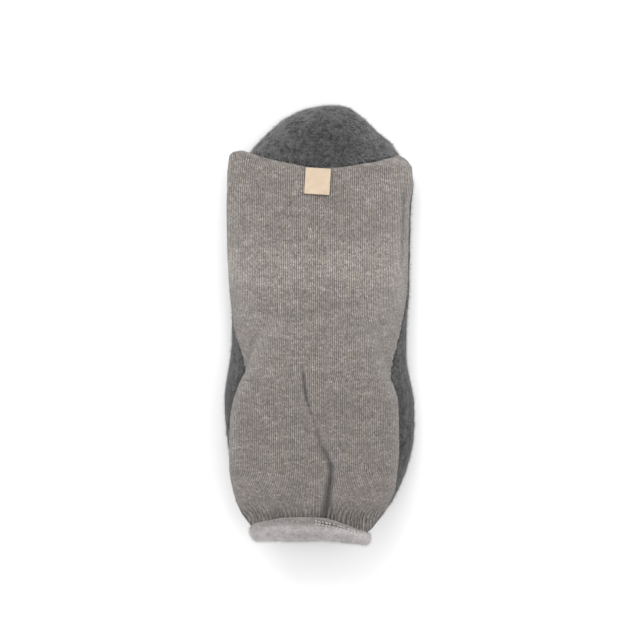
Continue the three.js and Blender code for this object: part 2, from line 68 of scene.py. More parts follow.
def wired(tree: bpy.types.NodeTree, kind: str, inputs: dict, **settings: object) -> bpy.types.Node:
    """Adds a node to a tree.

    Args:
        tree: The tree.
        kind: The node's type.
        inputs: Sockets by name or number, each with a value or the socket that feeds it.
        **settings: The node's own options.

    Returns:
        The node.
    """
    node = tree.nodes.new(kind)
    for name, value in settings.items():
        setattr(node, name, value)
    for name, value in inputs.items():
        if isinstance(value, bpy.types.NodeSocket):
            tree.links.new(value, node.inputs[name])
        else:
            node.inputs[name].default_value = value
    return node


class NodeSheet:
    """A material's nodes, added one at a time."""

    def __init__(self, name: str, roughness: float, sheen: float, spread: float = 0.55) -> None:
        """Starts a sheet.

        Args:
            name: The material's name.
            roughness: Roughness of the shader.
            sheen: How strongly fibres that stand up catch the light.
            spread: How far from the edges they catch it.
        """
        self.material = bpy.data.materials.new(name)
        self.material.use_nodes = True
        self.tree = self.material.node_tree
        self.shader = self.tree.nodes["Principled BSDF"]
        self.shader.inputs["Roughness"].default_value = roughness
        self.shader.inputs["Specular IOR Level"].default_value = 0.2
        self.shader.inputs["Sheen Weight"].default_value = sheen
        self.shader.inputs["Sheen Roughness"].default_value = spread

    def add(self, kind: str, inputs: dict, **settings: object) -> bpy.types.Node:
        """Adds a shader node, its type given without the prefix, and returns it."""
        return wired(self.tree, f"ShaderNode{kind}", inputs, **settings)

    def math(self, operation: str, *values: object) -> bpy.types.NodeSocket:
        """Returns the result of a Math node."""
        return self.add("Math", dict(enumerate(values)), operation=operation).outputs[0]

    def stretch(self, value: object, low: float, high: float) -> bpy.types.NodeSocket:
        """Returns a value spread to 0 at low and 1 at high, and held there."""
        inputs = {"Value": value, "From Min": low, "From Max": high}
        return self.add("MapRange", inputs, clamp=True).outputs[0]

    def mix(self, share: object, low: object, high: object) -> bpy.types.NodeSocket:
        """Returns a colour between low and high."""
        return self.add("Mix", {0: share, 6: low, 7: high}, data_type="RGBA").outputs[2]

    def scale(self, colour: object, amount: object) -> bpy.types.NodeSocket:
        """Returns a colour made lighter or darker by an amount near 1."""
        node = self.add("VectorMath", {0: colour, "Scale": amount}, operation="SCALE")
        return node.outputs[0]

    def noise(self, vector: object, scale: float, **inputs: float) -> bpy.types.NodeSocket:
        """Returns a noise value on a vector."""
        named = {name.capitalize(): value for name, value in inputs.items()}
        return self.add("TexNoise", {"Vector": vector, "Scale": scale, **named}).outputs[0]

    def place(self) -> bpy.types.NodeSocket:
        """Returns the place on the object, in metres."""
        return self.add("TexCoord", {}).outputs["Object"]

    def finish(self, colour: object, height: object, relief: float) -> bpy.types.Material:
        """Feeds the shader.

        Args:
            colour: Base colour.
            height: Height of the cloth's relief, from 0 to 1.
            relief: That height's size in millimetres.

        Returns:
            The material.
        """
        bump = self.add("Bump", {"Height": height, "Distance": relief * MM, "Strength": 1.0})
        self.tree.links.new(colour, self.shader.inputs["Base Color"])
        self.tree.links.new(bump.outputs[0], self.shader.inputs["Normal"])
        return self.material


@dataclass(frozen=True)
class BoiledWool:
    """Thick felted wool with short curled fibres lying on it."""

    name: str
    ground: Colour
    light: Colour
    fibre: Colour
    sheen: float = 0.9
    relief: float = 0.8

    def material(self) -> bpy.types.Material:
        """Returns the felt's material."""
        sheet = NodeSheet(self.name, roughness=0.95, sheen=self.sheen, spread=0.28)
        place = sheet.place()
        lumps = sheet.noise(place, 280.0, detail=3.0, roughness=0.6, distortion=1.8)
        clouds = sheet.noise(place, 90.0, detail=3.0, roughness=0.6)
        curls = self.curls(sheet, place, 260.0, 2.6)
        finer = self.curls(sheet, place, 620.0, 3.1)
        colour = sheet.mix(sheet.stretch(lumps, 0.4, 0.6), self.ground, self.light)
        colour = sheet.mix(sheet.math("MULTIPLY", curls, 0.45), colour, self.fibre)
        colour = sheet.mix(sheet.math("MULTIPLY", finer, 0.25), colour, self.fibre)
        colour = sheet.scale(colour, sheet.math("MULTIPLY_ADD", clouds, 1.6, 0.2))
        height = sheet.math("MULTIPLY_ADD", lumps, 0.9, sheet.math("MULTIPLY", curls, 0.3))
        height = sheet.math("MULTIPLY_ADD", finer, 0.15, height)
        return sheet.finish(colour, height, self.relief)

    def curls(
        self, sheet: NodeSheet, place: bpy.types.NodeSocket, scale: float, swirl: float
    ) -> bpy.types.NodeSocket:
        """Returns thin winding lines, 1 on a fibre and 0 off it.

        Args:
            sheet: The material's nodes.
            place: Place on the object.
            scale: Fibres across a metre.
            swirl: How much the lines wind.

        Returns:
            The lines.
        """
        field = sheet.noise(place, scale, detail=1.0, distortion=swirl)
        away = sheet.math("ABSOLUTE", sheet.math("SUBTRACT", field, 0.5))
        return sheet.math("SUBTRACT", 1.0, sheet.stretch(away, 0.0, 0.05))


@dataclass(frozen=True)
class Jersey:
    """Fine melange jersey, brushed on its other side. Its wales follow the cloth's own UV map."""

    # Name of the attribute of painted shade that darkens the cloth's colour; below zero it is painted light.
    PAINTED_SHADE = "tight"

    name: str
    yarn: Colour
    gap: Colour
    slub: Colour
    fleck: Colour
    nap: Colour
    shade: Colour
    brushed: str
    sheen: float = 0.35
    relief: float = 0.4

    def material(self) -> bpy.types.Material:
        """Returns the cloth's material, with nap where its attribute for the brushed side is 1."""
        sheet = NodeSheet(self.name, roughness=0.92, sheen=self.sheen)
        place = sheet.place()
        knit, ribs = self.face(sheet, place)
        nap, tufts = self.back(sheet, place)
        side = sheet.add("Attribute", {}, attribute_name=self.brushed).outputs["Fac"]
        height = sheet.add("Mix", {0: side, 2: ribs, 3: tufts}, data_type="FLOAT").outputs[0]
        return sheet.finish(sheet.mix(side, knit, nap), height, self.relief)

    def face(
        self, sheet: NodeSheet, place: bpy.types.NodeSocket
    ) -> tuple[bpy.types.NodeSocket, bpy.types.NodeSocket]:
        """Knits the smooth side: two legs to a wale, and yarn that changes shade along each course.

        Args:
            sheet: The material's nodes.
            place: Place on the object.

        Returns:
            Colour and height.
        """
        wales = sheet.add("UVMap", {}, uv_map=Wales.LAYER).outputs[0]
        split = sheet.add("SeparateXYZ", {"Vector": wales})
        across, along = split.outputs[0], split.outputs[1]
        wander = sheet.noise(wales, 0.3, detail=2.0)
        beside = sheet.math("FRACT", sheet.math("MULTIPLY_ADD", wander, 0.6, across))
        beside = sheet.math("ABSOLUTE", sheet.math("SUBTRACT", beside, 0.5))
        valley = sheet.stretch(beside, 0.24, 0.48)
        leg = sheet.math("MULTIPLY", sheet.math("ABSOLUTE", sheet.math("SUBTRACT", beside, 0.24)), 4.0)
        slanted = sheet.math("MULTIPLY_ADD", beside, 1.4, along)
        turn = sheet.math("MULTIPLY_ADD", sheet.math("FRACT", slanted), 2.0, -1.0)
        crown = sheet.math("SUBTRACT", 1.0, sheet.math("POWER", leg, 2.0))
        bend = sheet.math("MULTIPLY_ADD", sheet.math("ABSOLUTE", turn), -0.45, 1.0)
        height = sheet.math("MULTIPLY", sheet.math("MULTIPLY", crown, bend), 0.5)
        height = sheet.math("MULTIPLY_ADD", valley, -0.5, sheet.math("ADD", height, 0.5))

        course = sheet.math("FLOOR", slanted)
        thread = sheet.add("CombineXYZ", {0: across, 1: sheet.math("MULTIPLY", course, 7.3)}).outputs[0]
        slubs = sheet.noise(thread, 0.22, detail=2.0, roughness=0.7)
        flecks = sheet.noise(thread, 0.7, detail=2.0, roughness=0.8)
        stitch = sheet.add("CombineXYZ", {0: sheet.math("FLOOR", across), 1: course}).outputs[0]
        chance = sheet.add("TexWhiteNoise", {"Vector": stitch}).outputs["Value"]
        bands = sheet.add("Mapping", {"Vector": place, "Scale": (45.0, 150.0, 150.0)}).outputs[0]
        clouds = sheet.noise(bands, 1.0, detail=4.0, roughness=0.65)
        colour = sheet.mix(sheet.stretch(slubs, 0.48, 0.7), self.yarn, self.slub)
        colour = sheet.mix(sheet.stretch(flecks, 0.5, 0.72), colour, self.fleck)
        colour = sheet.mix(valley, colour, self.gap)
        # Painted shade darkens the colour in folds, gathers and grooves, and painted light lightens it where the
        # attribute is below zero.
        tight = sheet.add("Attribute", {}, attribute_name=self.PAINTED_SHADE).outputs["Fac"]
        light = sheet.math("MULTIPLY_ADD", clouds, 0.8, 0.6)
        light = sheet.math("MULTIPLY", light, sheet.math("MULTIPLY_ADD", chance, 0.5, 0.75))
        light = sheet.math("MULTIPLY", light, sheet.math("MULTIPLY_ADD", tight, -0.6, 1.0))
        return sheet.scale(colour, light), height

    def back(
        self, sheet: NodeSheet, place: bpy.types.NodeSocket
    ) -> tuple[bpy.types.NodeSocket, bpy.types.NodeSocket]:
        """Brushes the other side into a short soft nap.

        Args:
            sheet: The material's nodes.
            place: Place on the object.

        Returns:
            Colour and height.
        """
        tufts = sheet.noise(place, 420.0, detail=5.0, roughness=0.6, distortion=1.0)
        clouds = sheet.noise(place, 110.0, detail=3.0)
        nap = sheet.mix(sheet.stretch(tufts, 0.3, 0.66), self.shade, self.nap)
        return sheet.scale(nap, sheet.math("MULTIPLY_ADD", clouds, 0.3, 0.85)), tufts


@dataclass(frozen=True)
class WovenTape:
    """Plain narrow tape in cream cotton."""

    name: str
    thread: Colour
    gap: Colour

    def material(self) -> bpy.types.Material:
        """Returns the tape's material."""
        sheet = NodeSheet(self.name, roughness=0.65, sheen=0.1)
        place = sheet.place()
        split = sheet.add("SeparateXYZ", {"Vector": place})
        warp = sheet.math("SINE", sheet.math("MULTIPLY", split.outputs[0], 11000.0))
        weft = sheet.math("SINE", sheet.math("MULTIPLY", split.outputs[1], 11000.0))
        weave = sheet.math("MULTIPLY_ADD", sheet.math("MULTIPLY", warp, weft), 0.5, 0.5)
        worn = sheet.noise(place, 260.0, detail=3.0)
        colour = sheet.mix(sheet.stretch(weave, 0.0, 0.6), self.gap, self.thread)
        colour = sheet.scale(colour, sheet.math("MULTIPLY_ADD", worn, 0.3, 0.85))
        height = sheet.math("MULTIPLY_ADD", worn, 2.0, weave)
        return sheet.finish(colour, height, 0.12)


@dataclass(frozen=True)
class LooseFibre:
    """Fibres that stand off a cloth, each in its own shade."""

    name: str
    dark: Colour
    light: Colour

    def material(self) -> bpy.types.Material:
        """Returns the fibres' material."""
        sheet = NodeSheet(self.name, roughness=0.8, sheen=0.2)
        shade = sheet.add("Attribute", {}, attribute_name=Nap.SHADE).outputs["Fac"]
        streaks = sheet.noise(sheet.place(), 900.0, detail=1.0)
        colour = sheet.mix(shade, self.dark, self.light)
        colour = sheet.scale(colour, sheet.math("MULTIPLY_ADD", streaks, 0.3, 0.85))
        return sheet.finish(colour, streaks, 0.02)


@dataclass(frozen=True)
class Backdrop:
    """Plain matt paper, near white."""

    tone: float = 0.92

    def material(self) -> bpy.types.Material:
        """Returns the paper's material."""
        sheet = NodeSheet("backdrop_paper", roughness=0.9, sheen=0.0)
        mottle = sheet.noise(sheet.place(), 8.0, detail=2.0)
        paper = (self.tone, self.tone, self.tone)
        colour = sheet.scale(paper, sheet.math("MULTIPLY_ADD", mottle, 0.01, 0.995))
        return sheet.finish(colour, mottle, 0.01)


def from_line(spots: np.ndarray, start: np.ndarray, end: np.ndarray) -> tuple[np.ndarray, np.ndarray]:
    """Measures places against a straight line in plan.

    Args:
        spots: The places.
        start: The line's start on X and Y.
        end: Its end.

    Returns:
        How far each place lies from the line, and the share of the line at which it does.
    """
    run = end - start
    share = np.clip((spots[:, :2] - start) @ run / (run @ run), 0.0, 1.0)
    return np.linalg.norm(spots[:, :2] - (start + share[:, None] * run), axis=1), share


@dataclass(frozen=True)
class Fold:
    """A soft trough along a line in plan. A depth below zero stands up as a ridge.

    Each point holds X, Y, the depth there and the half width there, in millimetres.
    """

    points: tuple[tuple[float, float, float, float], ...]
    above: float = 0.0
    shoulder: float = 0.25
    sharpness: float = 2.0

    def heights(self, spots: np.ndarray) -> np.ndarray:
        """Works out how far each spot rises.

        Args:
            spots: Places on the cloth, in millimetres.

        Returns:
            The rise at each spot, in millimetres.
        """
        nearest = np.full(len(spots), 1e9)
        rise = np.zeros(len(spots))
        for start, end in zip(self.points, self.points[1:]):
            a, b = np.array(start), np.array(end)
            away, share = from_line(spots, a[:2], b[:2])
            depth = a[2] + share * (b[2] - a[2])
            q = away / (a[3] + share * (b[3] - a[3]))
            form = -depth * np.exp(-(q**self.sharpness))
            form += self.shoulder * depth * np.exp(-((q - 2.0) ** 2))
            rise = np.where(away < nearest, form, rise)
            nearest = np.minimum(nearest, away)
        return rise * ramp(self.above - 1.5, self.above + 1.5, spots[:, 2])


@dataclass(frozen=True)
class Tube:
    """A tube of cloth along Y, with its axis at middle on X and height on Z, all in millimetres.

    Its outline is read as the farthest cloth in each wedge of each slab along it. The flatness is its
    width as a share of its height. Ahead of front the cloth's wales run straight on.
    """

    SLAB = 4.0
    WEDGES = 72
    TREND = 7  # slabs over which the fall of its crest is read
    EASE = 8.0  # length over which the wales straighten before front
    ROUND = 15.0  # how far aside of the axis the cloth has turned to its side
    SIDE = 24.0  # how far down its side is read

    middle: float
    height: float
    flatness: float
    front: float = 90.0

    def around(self, spots: np.ndarray) -> np.ndarray:
        """Measures how far round the cloth each spot lies from the middle of its top.

        Args:
            spots: Places on the cloth, in millimetres.

        Returns:
            The lengths, in millimetres, below zero on the left.
        """
        beside, above = spots[:, 0] - self.middle, (spots[:, 2] - self.height) * self.flatness
        turn = (np.arctan2(beside, above) / math.tau + 0.5) * self.WEDGES - 0.5
        rank = (np.minimum(spots[:, 1], self.front) - spots[:, 1].min()) / self.SLAB - 0.5
        slab, wedge = np.rint(rank).astype(int), np.rint(turn).astype(int) % self.WEDGES
        reach = np.zeros((slab.max() + 1, self.WEDGES))
        np.maximum.at(reach, (slab, wedge), np.hypot(beside, above))
        for outline in reach:
            met = np.nonzero(outline)[0]
            outline[:] = np.interp(np.arange(self.WEDGES), met, outline[met])
        angle = ((np.arange(self.WEDGES) + 0.5) / self.WEDGES - 0.5) * math.tau
        steps = np.hypot(np.diff(reach * np.sin(angle)), np.diff(reach * np.cos(angle)) / self.flatness)
        lengths = np.pad(np.cumsum(steps, axis=1), ((0, 0), (1, 0)))
        half = self.WEDGES // 2
        lengths -= lengths[:, half - 1 : half + 1].mean(axis=1, keepdims=True)
        lengths[1:-1] = (lengths[:-2] + 2 * lengths[1:-1] + lengths[2:]) / 4
        measured = between(lengths, rank, turn)
        if spots[:, 1].max() > self.front:
            beside, above = reach * np.sin(angle), reach * np.cos(angle) / self.flatness
            straight = self.ahead(spots, beside, above, lengths)
            share = ramp(self.front - self.EASE, self.front, spots[:, 1])
            measured = straight * share + measured * (1 - share)
        return measured

    def ahead(
        self, spots: np.ndarray, beside: np.ndarray, above: np.ndarray, lengths: np.ndarray
    ) -> np.ndarray:
        """Measures round the cloth near front and ahead of it, where the wales run straight on.

        Args:
            spots: Places on the cloth, in millimetres.
            beside: How far each wedge of each slab lies from the axis on X.
            above: How far it lies from the axis on Z.
            lengths: How far round the cloth it lies.

        Returns:
            The lengths at the spots, in millimetres.
        """
        last = min(int((self.front - spots[:, 1].min()) / self.SLAB - 0.5), len(lengths) - 1)
        crest, before = above[last].max(), above[last - self.TREND].max()
        fall = (crest - before) / (self.TREND * self.SLAB)
        upper = above[last] > crest - self.SIDE
        edges = beside[last].min(), beside[last].max()

        def laid(aside: np.ndarray, depth: np.ndarray) -> np.ndarray:
            """Lays places of a section out on one line, along X on its top and then down its sides."""
            below = ramp(11.0, 16.0, depth)
            edge = np.where(aside < 0, *edges)
            return aside + (edge - aside) * below + depth * np.tanh(aside / self.ROUND)

        known = np.maximum.accumulate(laid(beside[last], crest - above[last])[upper])
        depth = self.height + crest + fall * (spots[:, 1] - self.front) - spots[:, 2]
        line = laid(spots[:, 0] - self.middle, depth)
        past_ends = line - np.clip(line, known[0], known[-1])
        return np.interp(line, known, lengths[last][upper]) + past_ends


def between(table: np.ndarray, row: np.ndarray, column: np.ndarray) -> np.ndarray:
    """Reads a table at places between its rows and columns.

    Args:
        table: The table.
        row: Row of each place, with its fraction.
        column: Column of each place.

    Returns:
        The values there.
    """
    top, left = (
        np.clip(np.floor(at), 0, size - 2).astype(int) for at, size in zip((row, column), table.shape)
    )
    down, over = np.clip(row - top, 0.0, 1.0), np.clip(column - left, 0.0, 1.0)
    upper = table[top, left] * (1 - over) + table[top, left + 1] * over
    lower = table[top + 1, left] * (1 - over) + table[top + 1, left + 1] * over
    return upper * (1 - down) + lower * down


@dataclass(frozen=True)
class Wales:
    """UV map whose units are one wale round the cloth and one course along it.

    The wales converge from neck_from to neck_to on Y, where neck_share of their width is left. All
    lengths are in millimetres.
    """

    LAYER = "wales"

    wale: float
    course: float
    neck_from: float = -80.0
    neck_to: float = -118.0
    neck_share: float = 1.0

    def lay(self, mesh: bpy.types.Mesh, around: np.ndarray) -> None:
        """Writes the map on a mesh, given how far round the cloth each vertex lies.

        Args:
            mesh: The mesh.
            around: How far round the cloth each vertex lies, in millimetres.
        """
        along = spots_of(mesh)[:, 1]
        drawn_in = 1.0 - (1.0 - self.neck_share) * (1.0 - ramp(self.neck_to, self.neck_from, along))
        u, v = around / (self.wale * drawn_in), along / self.course
        corners = np.empty(len(mesh.loops), np.int32)
        mesh.loops.foreach_get("vertex_index", corners)
        layer = mesh.uv_layers.new(name=self.LAYER)
        layer.data.foreach_set("uv", np.stack([u[corners], v[corners]], 1).astype(np.float32).ravel())


def spots_of(mesh: bpy.types.Mesh) -> np.ndarray:
    """Returns a mesh's vertices in millimetres.

    Args:
        mesh: The mesh.

    Returns:
        A row of X, Y and Z for each.
    """
    flat = np.empty(len(mesh.vertices) * 3, np.float32)
    mesh.vertices.foreach_get("co", flat)
    return flat.reshape(-1, 3).astype(float) / MM


def normals_of(mesh: bpy.types.Mesh) -> np.ndarray:
    """Returns the directions in which a mesh's vertices face.

    Args:
        mesh: The mesh.

    Returns:
        A row of X, Y and Z for each.
    """
    flat = np.empty(len(mesh.vertices) * 3, np.float32)
    mesh.vertex_normals.foreach_get("vector", flat)
    return flat.reshape(-1, 3).astype(float)


def move_to(mesh: bpy.types.Mesh, spots: np.ndarray) -> None:
    """Moves a mesh's vertices to places in millimetres."""
    mesh.vertices.foreach_set("co", (spots * MM).astype(np.float32).ravel())
    mesh.update()


def mark(mesh: bpy.types.Mesh, name: str, values: np.ndarray) -> None:
    """Stores a number on each vertex."""
    layer = mesh.attributes.new(name, "FLOAT", "POINT")
    layer.data.foreach_set("value", values.astype(np.float32))


def applied(thing: bpy.types.Object) -> None:
    """Works an object's modifiers into its mesh.

    Args:
        thing: The object.
    """
    seen_mesh = thing.evaluated_get(bpy.context.evaluated_depsgraph_get())
    mesh = bpy.data.meshes.new_from_object(seen_mesh)
    thing.modifiers.clear()
    spare, thing.data = thing.data, mesh
    mesh.name = thing.name
    bpy.data.meshes.remove(spare)


def in_scene(name: str, form: bmesh.types.BMesh) -> bpy.types.Object:
    """Turns a form into an object of the scene, and frees the form.

    Args:
        name: Name of the object and its mesh.
        form: The form.

    Returns:
        The object.
    """
    mesh = bpy.data.meshes.new(name)
    form.to_mesh(mesh)
    form.free()
    thing = bpy.data.objects.new(name, mesh)
    bpy.context.scene.collection.objects.link(thing)
    return thing


def eased(spots: np.ndarray) -> np.ndarray:
    """Rounds the seam between the toe cap and the knit.

    Args:
        spots: Places on either piece, in millimetres.

    Returns:
        Their shift on Y.
    """
    near = ramp(72.0, 92.0, spots[:, 1])
    right = 1.6 * np.exp(-(((spots[:, 0] - 41.0) / 5.0) ** 2))
    left = 0.7 * np.exp(-(((spots[:, 0] + 14.0) / 7.0) ** 2))
    return near * ramp(124.0, 106.0, spots[:, 1]) * (right + left)


@dataclass(frozen=True)
class SoftCast:
    """An even remesh of a CAD node, ready to be worked like cloth. Lengths are in millimetres.

    Each round of smoothing shrinks the form a little and then lets it out again, so corners stay full.
    """

    node: str
    name: str
    voxel: float
    rounds: int = 4
    swell: float = 0.0
    lumps: float = 0.0
    lump_size: float = 4.0
    thin_spot: tuple[float, float, float] | None = None
    patch: float = 0.7
    patch_reach: float = 14.0

    def make(self) -> bpy.types.Object:
        """Makes the new piece: remeshed, smoothed, swollen a little and lumpy.

        Returns:
            The piece, without a finish.
        """
        form = bmesh.new()
        form.from_mesh(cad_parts[self.node].data)
        bmesh.ops.remove_doubles(form, verts=form.verts, dist=1e-6)
        if self.thin_spot:
            self.thicken(form)
        piece = in_scene(self.name, form)
        even = piece.modifiers.new("even", "REMESH")
        even.mode = "VOXEL"
        even.voxel_size = self.voxel * MM
        for factor in (0.5, -0.53) * self.rounds:
            calm = piece.modifiers.new("calm", "SMOOTH")
            calm.factor = factor
        full = piece.modifiers.new("full", "DISPLACE")
        full.strength = self.swell * MM
        full.mid_level = 0.0
        if self.lumps:
            self.roughen(piece)
        applied(piece)
        return piece

    def thicken(self, form: bmesh.types.BMesh) -> None:
        """Thickens the wall round its thin spot on both sides, so that the remesh leaves no hole there.

        Args:
            form: The CAD node's faces.
        """
        form.normal_update()
        centre = Vector(self.thin_spot) * MM
        for vert in form.verts:
            share = 1.0 - (vert.co - centre).length / (self.patch_reach * MM)
            vert.co += vert.normal * self.patch * MM * min(1.0, max(0.0, 2.0 * share))

    def roughen(self, piece: bpy.types.Object) -> None:
        """Adds uneven lumps to a piece.

        Args:
            piece: The piece.
        """
        clouds = bpy.data.textures.new(f"{self.name}_lumps", "CLOUDS")
        clouds.noise_scale = self.lump_size * MM
        clouds.noise_depth = 2
        lumpy = piece.modifiers.new("lumpy", "DISPLACE")
        lumpy.texture = clouds
        lumpy.strength = self.lumps * MM
        lumpy.mid_level = 0.5


def dress(piece: bpy.types.Object, node: str, material: bpy.types.Material) -> None:
    """Gives a piece its material and puts it in its CAD node's place."""
    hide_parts(node)
    settle(piece, material)


def settle(piece: bpy.types.Object, material: bpy.types.Material) -> None:
    """Gives a piece its material, rides it on the shoe and reports it.

    Args:
        piece: The piece.
        material: Its material.
    """
    piece.data.materials.clear()
    piece.data.materials.append(material)
    piece.data.shade_smooth()
    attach(piece, "root")
    log.info("%s: %d faces", piece.name, len(piece.data.polygons))


@dataclass(frozen=True)
class Nap:
    """Short curled fibres, scattered over a cloth's outer side and joined in one mesh."""

    SHADE = "shade"
    OUTSIDE = "outside"
    SIZES = (0.5, 1.4)  # shares of their length that fibres have
    STRAY = 0.25  # how far a fibre's shade strays from its lock's

    length: float
    thickness: float
    number: int
    lean: float
    bend: float
    seed: int
    lock_scale: float = 240.0

    def curl(self) -> bpy.types.Object:
        """Makes one fibre: a thin three-sided stem that bends over as it rises to its point.

        Returns:
            The fibre.
        """
        form = bmesh.new()
        bmesh.ops.create_cone(
            form, segments=3, radius1=self.thickness * MM / 2, radius2=0.0, depth=self.length * MM,
            cap_ends=True, matrix=Matrix.Translation((0, 0, self.length * MM / 2)),
        )
        stem = [edge for edge in form.edges if abs(edge.verts[0].co.z - edge.verts[1].co.z) > 1e-6]
        bmesh.ops.subdivide_edges(form, edges=stem, cuts=1)
        radius = self.length * MM / self.bend
        for vert in form.verts:
            angle, offset = vert.co.z / radius, vert.co.y
            vert.co.y = radius * (1 - math.cos(angle)) + offset * math.cos(angle)
            vert.co.z = radius * math.sin(angle) - offset * math.sin(angle)
        return in_scene("curl", form)

    def scatter(self, curl: bpy.types.Object, area: float) -> bpy.types.NodeTree:
        """Returns the node group that scatters fibres.

        Args:
            curl: The fibre.
            area: Area of the ground's outer side, in square metres.

        Returns:
            The group.
        """
        tree = bpy.data.node_groups.new("scatter", "GeometryNodeTree")
        tree.interface.new_socket("Ground", in_out="INPUT", socket_type="NodeSocketGeometry")
        tree.interface.new_socket("Fibres", in_out="OUTPUT", socket_type="NodeSocketGeometry")
        ground = wired(tree, "NodeGroupInput", {}).outputs[0]
        outside = wired(tree, "GeometryNodeInputNamedAttribute", {"Name": self.OUTSIDE}).outputs[0]
        crowd = wired(
            tree, "ShaderNodeMath", {0: outside, 1: self.number / area}, operation="MULTIPLY"
        ).outputs[0]
        spread = {"Mesh": ground, "Density": crowd, "Seed": self.seed}
        points = wired(tree, "GeometryNodeDistributePointsOnFaces", spread).outputs
        shape = wired(tree, "GeometryNodeObjectInfo", {"Object": curl}).outputs["Geometry"]
        sizes = {2: self.SIZES[0], 3: self.SIZES[1], "Seed": self.seed + 1}
        size = wired(tree, "FunctionNodeRandomValue", sizes).outputs[1]
        least, most = (-self.lean, -self.lean, 0.0), (self.lean, self.lean, math.tau)
        turns = {0: least, 1: most, "Seed": self.seed + 2}
        spin = wired(tree, "FunctionNodeRandomValue", turns, data_type="FLOAT_VECTOR").outputs[0]
        standing = {
            "Points": points["Points"], "Instance": shape, "Rotation": points["Rotation"], "Scale": size
        }
        placed = wired(tree, "GeometryNodeInstanceOnPoints", standing).outputs[0]
        leaning = {"Instances": placed, "Rotation": spin}
        turned = wired(tree, "GeometryNodeRotateInstances", leaning).outputs[0]
        tone = wired(tree, "FunctionNodeRandomValue", {"Seed": self.seed + 3}).outputs[1]
        locks = wired(tree, "ShaderNodeTexNoise", {"Scale": self.lock_scale}).outputs[0]
        range_of_locks = {"Value": locks, "From Min": 0.42, "From Max": 0.6}
        sorted_locks = wired(tree, "ShaderNodeMapRange", range_of_locks).outputs[0]
        shade = wired(tree, "ShaderNodeMix", {0: self.STRAY, 2: sorted_locks, 3: tone}).outputs[0]
        stored = {"Geometry": turned, "Name": self.SHADE, "Value": shade}
        named = wired(tree, "GeometryNodeStoreNamedAttribute", stored, domain="INSTANCE").outputs[0]
        real = wired(tree, "GeometryNodeRealizeInstances", {"Geometry": named}).outputs[0]
        wired(tree, "NodeGroupOutput", {0: real})
        return tree

    def grow(self, ground: bpy.types.Object, name: str, finish: LooseFibre) -> None:
        """Grows fibres on a cloth that has its outer side marked.

        Args:
            ground: The cloth.
            name: Name of the new piece.
            finish: The fibres' finish.
        """
        outside = ground.data.attributes[self.OUTSIDE].data
        area = sum(face.area * outside[face.vertices[0]].value for face in ground.data.polygons)
        fibres = bpy.data.objects.new(name, ground.data.copy())
        bpy.context.scene.collection.objects.link(fibres)
        curl = self.curl()
        fibres.modifiers.new("fibres", "NODES").node_group = self.scatter(curl, area)
        applied(fibres)
        bpy.data.objects.remove(curl)
        settle(fibres, finish.material())


class Slot(Enum):
    """Names of material slots."""

    SOLE = "sole_felt"
    SIDE = "side_felt"
    CAP = "cap_felt"
    INSOLE = "insole_felt"
    KNIT = "knit"
    FLEECE = "fleece"
    TAPE = "tape"


# A darker copy of the toe cap's felt: painted shade on the side wall and the sole.
SHADED_SIDE_WOOL = BoiledWool(
    "side_wool", seen(0.06, 0.06, 0.065), seen(0.29, 0.29, 0.295), seen(0.46, 0.46, 0.465), sheen=0.45
)
CAP_WOOL = BoiledWool("cap_wool", seen(0.08, 0.08, 0.08), seen(0.35, 0.35, 0.35), seen(0.5, 0.5, 0.5))
INSOLE_WOOL = BoiledWool(
    "insole_wool", seen(0.3, 0.3, 0.31), seen(0.46, 0.46, 0.47), seen(0.56, 0.56, 0.57), sheen=0.2
)
JERSEY = Jersey(
    "melange_jersey",
    yarn=seen(0.6, 0.567, 0.54),
    gap=seen(0.2, 0.188, 0.178),
    slub=seen(0.71, 0.68, 0.655),
    fleck=seen(0.44, 0.415, 0.395),
    nap=seen(0.74, 0.72, 0.71),
    shade=seen(0.58, 0.56, 0.55),
    brushed="lining",
)
FLEECE = Jersey(
    "brushed_fleece",
    yarn=seen(0.66, 0.63, 0.62),
    gap=seen(0.44, 0.41, 0.4),
    slub=seen(0.76, 0.73, 0.72),
    fleck=seen(0.54, 0.51, 0.5),
    nap=seen(0.785, 0.755, 0.76),
    shade=seen(0.62, 0.595, 0.6),
    brushed="brushed",
    sheen=0.5,
    relief=0.5,
)
TAPE = WovenTape("cream_tape", seen(0.89, 0.81, 0.715), seen(0.76, 0.67, 0.56))
STITCH_THREAD = LooseFibre("stitch_thread", seen(0.76, 0.73, 0.72), seen(0.84, 0.82, 0.81))
WOOL_CURLS = LooseFibre("wool_curls", seen(0.1, 0.1, 0.1), seen(0.68, 0.68, 0.68))
JERSEY_FUZZ = LooseFibre("jersey_fuzz", seen(0.52, 0.5, 0.48), seen(0.82, 0.8, 0.78))
FLEECE_FUZZ = LooseFibre("fleece_fuzz", seen(0.8, 0.78, 0.78), seen(1.0, 0.99, 0.99))


